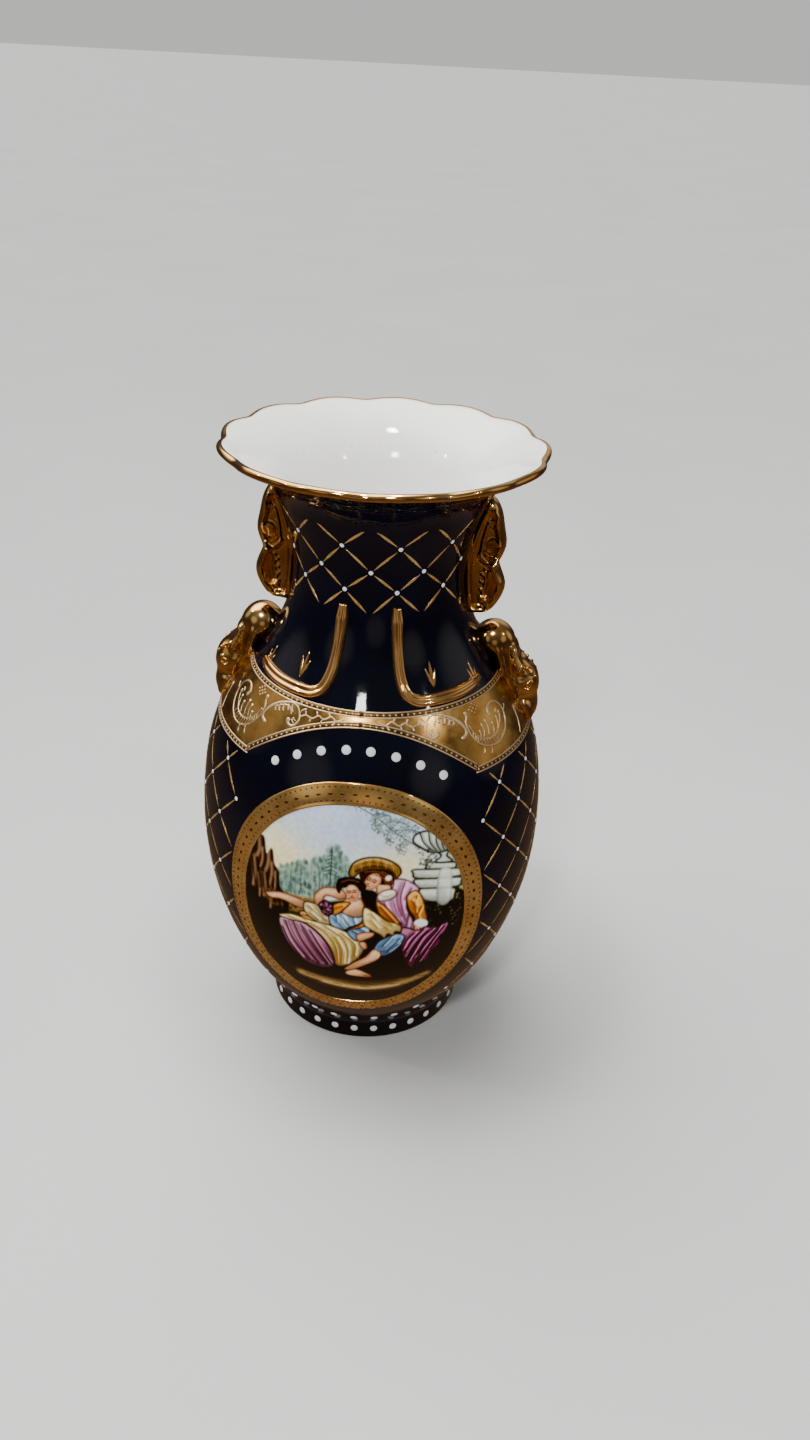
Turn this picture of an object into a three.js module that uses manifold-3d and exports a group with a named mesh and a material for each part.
// Two-handled porcelain baluster vase: a hollow body luted together from turned sections, a
// scalloped trumpet mouth, applied gilt handles, shoulder beasts and ribs, and the fired-on
// gilding and enamel of its collar, mouth edge and two oval medallions.
// Millimetres, +Z up. The origin is the centre of the foot's underside; the front medallion
// faces -Y, the back one +Y, and the handles lie over the X axis.
import * as THREE from "three";
import { mergeVertices } from "three/addons/utils/BufferGeometryUtils.js";
import Module from "manifold-3d";

const wasm = await Module();
wasm.setup();

// ---- Driving dimensions -------------------------------------------------------------------
const HEIGHT = 380; // foot to the highest lobe of the mouth, gilding included
const WALL = 5; // porcelain thickness of the body
const GAP = 0.3; // clearance between neighbouring solids
const LAYER = 0.5; // thickness of a fired-on layer
const SEGMENTS = 48; // facets round the body

// Outer radius of the body and neck at each height, foot to throat.
const STATIONS = [
  [14, 63], // waist above the foot
  [25, 69],
  [41, 79.5],
  [64, 90],
  [92, 99],
  [122, 104.5],
  [150, 105.5], // belly
  [182, 103],
  [208, 97],
  [231, 86], // shoulder
  [252, 71.5],
  [272, 58],
  [296, 50.5], // neck
  [325, 50.5],
  [348, 58], // throat
];
const BELLY_RADIUS = Math.max(...STATIONS.map(([, radius]) => radius));
const FOOT_TOP = 14;
const FOOT_RADIUS = 63;
const FOOT_INNER_RADIUS = 53;
const FLOOR_THICKNESS = 6;
const BELLY_SEAM = 150;
const NECK_SEAM = 272;
const THROAT = 348;

const LIP_RADIUS = 90; // mean radius of the mouth's edge
const LIP_THICKNESS = 4;
const LOBES = 13; // scallops round the mouth
const SCALLOP_START = 62; // radius at which the scallops begin to show
const FACETS_PER_LOBE = 4;
const LOBE_SOFTNESS = 0.05; // how rounded the valleys between the lobes are
const LOBE_REACH = 1.3; // how far a lobe stands out beyond the mean radius
const LOBE_RISE = 0.6; // how far it lifts above the mean height
const LIP_TOP = HEIGHT - LOBE_RISE - GAP - LAYER;
const GILDING_WIDTH = 2.2; // how far the mouth's gilding laps under the edge
const GILDING_LAP = 1.4; // how far it laps over the rim

const HANDLE_WIDTH = 15; // neck handle, front to back
const BEAST_WIDTH = 24; // shoulder beast, front to back
const HANDLE_ROUNDING = 3.5;

const COLLAR_TOP = 251;
const COLLAR_BOTTOM = 215;
const ARCH_TOP = 243; // crown of the collar's arch over a medallion
const ARCH_HALF_WIDTH = 65;
const ARCH_DROP = 27; // crown to the arch's corners

const MEDALLION_HEIGHT = 130; // height of its centre above the table
const FRAME_OUTER = [74, 88]; // half width and half height of the gilt frame
const FRAME_INNER = [64, 76];
const OVAL_POWER = 2.15; // a little fuller than an ellipse

const RIB_ANGLE = 17; // degrees from the medallion's centre line to a rib's upright bar
const RIB_TOP = 302;
const RIB_SWEEP_HEIGHT = 255; // height of its run along the collar
const RIB_END_ANGLE = 62;
const RIB_RADIUS = 3.4;
const RIB_STAND_OFF = 0.6; // from the clearance round the wall to the rib's centre line

// ---- Materials ----------------------------------------------------------------------------
const finish = (color, roughness, metalness) =>
  new THREE.MeshStandardMaterial({ color, roughness, metalness });
const cobalt = finish(0x05060f, 0.08, 0);
const white = finish(0xe9e7e1, 0.12, 0);
const gilding = finish(0xb07a2c, 0.16, 1);
const mattGold = finish(0xa9803a, 0.32, 0.9);
const painting = finish(0xb9b49a, 0.2, 0);

// ---- Helpers ------------------------------------------------------------------------------
const radians = THREE.MathUtils.degToRad;

function solidOf(geometry) {
  const bare = geometry.clone();
  for (const name of Object.keys(bare.attributes)) {
    if (name !== "position") bare.deleteAttribute(name);
  }
  const merged = mergeVertices(bare, 1e-3);
  return new wasm.Manifold(
    new wasm.Mesh({
      numProp: 3,
      vertProperties: merged.attributes.position.array,
      triVerts: new Uint32Array(merged.index.array),
    }),
  );
}

function geometryOf(solid) {
  const mesh = solid.getMesh();
  const geometry = new THREE.BufferGeometry();
  geometry.setAttribute("position", new THREE.BufferAttribute(mesh.vertProperties, 3));
  geometry.setIndex(new THREE.BufferAttribute(mesh.triVerts, 1));
  return geometry.toNonIndexed();
}

function named(name, geometry, material) {
  geometry.computeVertexNormals();
  const mesh = new THREE.Mesh(geometry, material);
  mesh.name = name;
  return mesh;
}

// Smooth radius through the stations: a cubic between each pair, with slopes taken from the
// neighbouring stations.
function outerRadius(z) {
  const last = STATIONS.length - 1;
  let i = 0;
  while (i < last - 1 && z > STATIONS[i + 1][0]) i += 1;
  const slope = (k) => {
    const a = STATIONS[Math.max(k - 1, 0)];
    const b = STATIONS[Math.min(k + 1, last)];
    return (b[1] - a[1]) / (b[0] - a[0]);
  };
  const [z0, r0] = STATIONS[i];
  const [z1, r1] = STATIONS[i + 1];
  const span = z1 - z0;
  const t = (z - z0) / span;
  const rise = t * t * (3 - 2 * t);
  const startTangent = t * (1 - t) * (1 - t) * span * slope(i);
  const endTangent = t * t * (t - 1) * span * slope(i + 1);
  return r0 + (r1 - r0) * rise + startTangent + endTangent;
}

// The wall is measured square to the surface, so a sloping wall is wider across.
function innerRadius(z) {
  const slope = outerRadius(z + 0.5) - outerRadius(z - 0.5);
  return outerRadius(z) - WALL * Math.hypot(1, slope);
}

const steps = (from, to, count) =>
  Array.from({ length: count + 1 }, (_, i) => from + ((to - from) * i) / count);

// Heights at which the faceted wall bends, section by section. Whatever lies on the wall bends
// at the same heights, so the clearance between them is even.
const LOWER_HEIGHTS = steps(FOOT_TOP, BELLY_SEAM - GAP, 9);
const UPPER_HEIGHTS = steps(BELLY_SEAM, NECK_SEAM - GAP, 9);
const NECK_HEIGHTS = steps(NECK_SEAM, THROAT, 6);
const WALL_HEIGHTS = [...LOWER_HEIGHTS, ...UPPER_HEIGHTS, ...NECK_HEIGHTS];

// Stands a lathe's axis up along Z.
function turned(points, segments = SEGMENTS) {
  const outline = points.map(([r, z]) => new THREE.Vector2(r, z));
  return new THREE.LatheGeometry(outline, segments).rotateX(Math.PI / 2);
}

// A stretch of the hollow wall, open at both ends.
function wallSection(heights) {
  const outside = heights.map((z) => [outerRadius(z), z]);
  const inside = heights.toReversed().map((z) => [innerRadius(z), z]);
  return turned([...outside, ...inside, outside[0]]);
}

// The body's outline as one solid, grown by a clearance: what an applied piece is cut back to.
function bodyGrownBy(clearance) {
  const side = WALL_HEIGHTS.map((z) => [outerRadius(z) + clearance, z]);
  const top = HEIGHT + 8;
  return solidOf(turned([[0, FOOT_TOP], ...side, [LIP_RADIUS + clearance, top], [0, top]]));
}

// Superellipse slightly fuller than an ellipse.
function oval([halfWidth, halfHeight], count = 40) {
  const power = 2 / OVAL_POWER;
  return Array.from({ length: count }, (_, i) => {
    const a = (2 * Math.PI * i) / count;
    const bulge = (c) => Math.sign(c) * Math.abs(c) ** power;
    return new THREE.Vector2(halfWidth * bulge(Math.cos(a)), halfHeight * bulge(Math.sin(a)));
  });
}

// A prism from an X-Z outline, running forward (-Y) from the axis.
function forwardPrism(outline) {
  const shape = new THREE.Shape(outline);
  const depth = 1.2 * BELLY_RADIUS;
  const geometry = new THREE.ExtrudeGeometry(shape, { depth, bevelEnabled: false, steps: 1 });
  return geometry.rotateX(Math.PI / 2);
}

// A thin layer that follows the body's facets between two heights.
function layerBetween(low, high) {
  const heights = [low, ...WALL_HEIGHTS.filter((z) => z > low + 1 && z < high - 1), high];
  const outside = heights.map((z) => [outerRadius(z) + GAP + LAYER, z]);
  const inside = heights.toReversed().map((z) => [outerRadius(z) + GAP, z]);
  return solidOf(turned([...outside, ...inside, outside[0]]));
}

// ---- Turned sections ----------------------------------------------------------------------
function footRing() {
  const top = FOOT_TOP - GAP;
  return turned([
    [FOOT_INNER_RADIUS + 1.5, 0],
    [FOOT_RADIUS - 1.5, 0],
    [FOOT_RADIUS, 2],
    [FOOT_RADIUS, top],
    [FOOT_INNER_RADIUS, top],
    [FOOT_INNER_RADIUS, 2],
    [FOOT_INNER_RADIUS + 1.5, 0],
  ]);
}

function lowerBody() {
  const floor = FOOT_TOP + FLOOR_THICKNESS;
  const outside = LOWER_HEIGHTS.map((z) => [outerRadius(z), z]);
  const inside = steps(BELLY_SEAM - GAP, floor + 5, 8).map((z) => [innerRadius(z), z]);
  const corner = innerRadius(floor + 5) - 7;
  return turned([[0, FOOT_TOP], ...outside, ...inside, [corner, floor], [0, floor]]);
}

// 1 on a lobe and -1 in a valley, with the valleys tighter than the lobes.
function scallop(angle) {
  const half = Math.cos((LOBES * (angle - Math.PI)) / 2);
  const floor = Math.sqrt(LOBE_SOFTNESS);
  const rise = Math.sqrt(half * half + LOBE_SOFTNESS) - floor;
  return (2 * rise) / (Math.sqrt(1 + LOBE_SOFTNESS) - floor) - 1;
}

// Pushes the mouth's edge out and up at each lobe, fading to a plain circle at the throat.
function scalloped(geometry) {
  const position = geometry.attributes.position;
  for (let i = 0; i < position.count; i += 1) {
    const x = position.getX(i);
    const y = position.getY(i);
    const radius = Math.hypot(x, y);
    const share = THREE.MathUtils.smoothstep(radius, SCALLOP_START, LIP_RADIUS);
    const wave = scallop(Math.atan2(x, -y)) * share;
    const grown = 1 + (LOBE_REACH * wave) / Math.max(radius, 1);
    position.setXYZ(i, x * grown, y * grown, position.getZ(i) + LOBE_RISE * wave);
  }
  return geometry;
}

// Underside of the mouth from the throat to the edge, as [radius, depth below the lip's top].
const FLARE = [
  [58, LIP_TOP - THROAT - GAP],
  [63.5, 22.5],
  [71, 14.5],
  [80, 8],
  [87.5, LIP_THICKNESS],
];

function mouth() {
  const under = FLARE.map(([r, depth]) => [r, LIP_TOP - depth]);
  const edge = [
    [LIP_RADIUS - 0.2, LIP_TOP - 2.6],
    [LIP_RADIUS, LIP_TOP - 1],
    [LIP_RADIUS - 1.6, LIP_TOP],
  ];
  const bowl = [
    [78, LIP_TOP - 4.2],
    [69, LIP_TOP - 10.4],
    [60.5, LIP_TOP - 19],
    [53, LIP_TOP - FLARE[0][1]],
  ];
  const segments = LOBES * FACETS_PER_LOBE;
  return scalloped(turned([...under, ...edge, ...bowl, under[0]], segments));
}

// Gilding wrapped round the mouth's edge, from its underside over to its rim.
function mouthGilding() {
  const near = GAP + 0.05;
  const far = GAP + LAYER;
  const close = [
    [LIP_RADIUS - GILDING_WIDTH, LIP_TOP - LIP_THICKNESS - near],
    [LIP_RADIUS + near, LIP_TOP - 2.8],
    [LIP_RADIUS + near, LIP_TOP - 0.8],
    [LIP_RADIUS - GILDING_LAP, LIP_TOP + near],
  ];
  const away = [
    [LIP_RADIUS - GILDING_LAP, LIP_TOP + far],
    [LIP_RADIUS + far, LIP_TOP - 0.6],
    [LIP_RADIUS + far, LIP_TOP - 3],
    [LIP_RADIUS - GILDING_WIDTH, LIP_TOP - LIP_THICKNESS - far - 0.2],
  ];
  return scalloped(turned([...away.reverse(), ...close.reverse(), away[0]], LOBES * FACETS_PER_LOBE));
}

// ---- Applied pieces -----------------------------------------------------------------------
// Outlines are [radius from the axis, height]; the side against the body runs inside it and is
// cut away, so the piece follows the wall.
const HANDLE_OUTLINE = [
  [58, 350],
  [63.5, 349],
  [67.5, 338],
  [70.5, 326],
  [68.5, 318],
  [67.2, 314.5],
  [70, 307],
  [71.5, 300],
  [69, 291.5],
  [64, 285],
  [57, 283.5],
  [48, 288],
  [46, 318],
  [48, 344],
];
const BEAST_OUTLINE = [
  [56, 273],
  [65, 278.5],
  [77, 275.5],
  [82.5, 267.5],
  [85, 259],
  [92.5, 253.5],
  [97.5, 240],
  [98.5, 226],
  [95.5, 217],
  [86, 220],
  [70, 240],
  [55, 262],
];

// A rounded slab across the X axis from a closed smooth outline, cut back to the body.
function appliedSlab(outline, width, body) {
  const rounding = HANDLE_ROUNDING;
  const curve = new THREE.SplineCurve(
    [...outline, outline[0]].map(([r, z]) => new THREE.Vector2(r, z)),
  );
  const shape = new THREE.Shape(curve.getPoints(outline.length * 2).slice(0, -1));
  const slab = new THREE.ExtrudeGeometry(shape, {
    depth: width - 2 * rounding,
    bevelEnabled: true,
    bevelThickness: rounding,
    bevelSize: rounding * 0.8,
    bevelOffset: -rounding * 0.8,
    bevelSegments: 2,
    steps: 1,
  });
  slab.rotateX(Math.PI / 2);
  slab.translate(0, width / 2 - rounding, 0);
  return solidOf(slab).subtract(body);
}

// A rounded gilt bar that drops down the neck and sweeps out along the collar's top edge.
function rib(body) {
  const onWall = (degrees, z) => {
    const a = radians(degrees);
    const r = outerRadius(z) + GAP + RIB_STAND_OFF;
    return new THREE.Vector3(r * Math.sin(a), -r * Math.cos(a), z);
  };
  const route = [
    onWall(RIB_ANGLE, RIB_TOP),
    onWall(RIB_ANGLE, RIB_TOP - 16),
    onWall(RIB_ANGLE + 0.5, RIB_TOP - 32),
    onWall(RIB_ANGLE + 3, RIB_SWEEP_HEIGHT + 5),
    onWall(RIB_ANGLE + 9, RIB_SWEEP_HEIGHT + 0.5),
    onWall(RIB_ANGLE + 20, RIB_SWEEP_HEIGHT),
    onWall(RIB_ANGLE + 33, RIB_SWEEP_HEIGHT + 0.5),
    onWall(RIB_END_ANGLE, RIB_SWEEP_HEIGHT + 0.8),
  ];
  const sides = 8;
  const section = new THREE.Shape(
    Array.from({ length: sides }, (_, i) => {
      const a = (2 * Math.PI * i) / sides;
      return new THREE.Vector2(RIB_RADIUS * Math.cos(a), RIB_RADIUS * Math.sin(a));
    }),
  );
  const tube = new THREE.ExtrudeGeometry(section, {
    extrudePath: new THREE.CatmullRomCurve3(route),
    steps: 16,
  });
  return solidOf(tube).subtract(body);
}

// ---- Fired-on layers ----------------------------------------------------------------------
// The gold band of the shoulder: deep at the sides, arched up over each medallion.
function collar() {
  const base = COLLAR_BOTTOM - 5; // clear below the band
  const arch = [];
  for (const x of steps(-ARCH_HALF_WIDTH, ARCH_HALF_WIDTH, 14)) {
    arch.push(new THREE.Vector2(x, ARCH_TOP - ARCH_DROP * (x / ARCH_HALF_WIDTH) ** 2));
  }
  const outline = [
    new THREE.Vector2(-ARCH_HALF_WIDTH, base),
    new THREE.Vector2(ARCH_HALF_WIDTH, base),
    ...arch.reverse(),
  ];
  const front = forwardPrism(outline);
  const back = front.clone().rotateZ(Math.PI);
  const band = layerBetween(COLLAR_BOTTOM, COLLAR_TOP);
  return band.subtract(solidOf(front)).subtract(solidOf(back));
}

function medallionLayer(outer, inner) {
  const low = MEDALLION_HEIGHT - FRAME_OUTER[1] - 2;
  const high = MEDALLION_HEIGHT + FRAME_OUTER[1] + 2;
  const prism = (size) =>
    solidOf(forwardPrism(oval(size)).translate(0, 0, MEDALLION_HEIGHT));
  const layer = layerBetween(low, high).intersect(prism(outer));
  return inner ? layer.subtract(prism(inner)) : layer;
}

// ---- Assembly -----------------------------------------------------------------------------
const vase = new THREE.Group();
vase.name = "porcelain_vase";

vase.add(named("foot_ring", footRing(), cobalt));
vase.add(named("lower_body", lowerBody(), cobalt));
vase.add(named("upper_body", wallSection(UPPER_HEIGHTS), cobalt));
vase.add(named("neck", wallSection(NECK_HEIGHTS), cobalt));
vase.add(named("mouth", mouth(), white));
vase.add(named("mouth_gilding", mouthGilding(), gilding));

const bareBody = bodyGrownBy(GAP);
const gildedBody = bodyGrownBy(2 * GAP + LAYER);
const handleGeometry = geometryOf(appliedSlab(HANDLE_OUTLINE, HANDLE_WIDTH, bareBody));
const beastGeometry = geometryOf(appliedSlab(BEAST_OUTLINE, BEAST_WIDTH, gildedBody));
for (const [side, turn] of [["right", 0], ["left", Math.PI]]) {
  const pair = new THREE.Group();
  pair.rotation.z = turn;
  pair.add(named(`neck_handle_${side}`, handleGeometry, gilding));
  pair.add(named(`shoulder_beast_${side}`, beastGeometry, gilding));
  vase.add(pair);
}

const ribGeometry = geometryOf(rib(bareBody));
const mirroredRib = geometryOf(solidOf(ribGeometry).mirror([1, 0, 0]));
const panel = geometryOf(medallionLayer([FRAME_INNER[0] - GAP, FRAME_INNER[1] - GAP]));
const frame = geometryOf(medallionLayer(FRAME_OUTER, FRAME_INNER));
for (const [face, turn] of [["front", 0], ["back", Math.PI]]) {
  const half = new THREE.Group();
  half.rotation.z = turn;
  half.add(named(`${face}_rib_right`, ribGeometry, gilding));
  half.add(named(`${face}_rib_left`, mirroredRib, gilding));
  half.add(named(`${face}_medallion_painting`, panel, painting));
  half.add(named(`${face}_medallion_frame`, frame, gilding));
  vase.add(half);
}
vase.add(named("gilt_collar", geometryOf(collar()), mattGold));

export default vase;
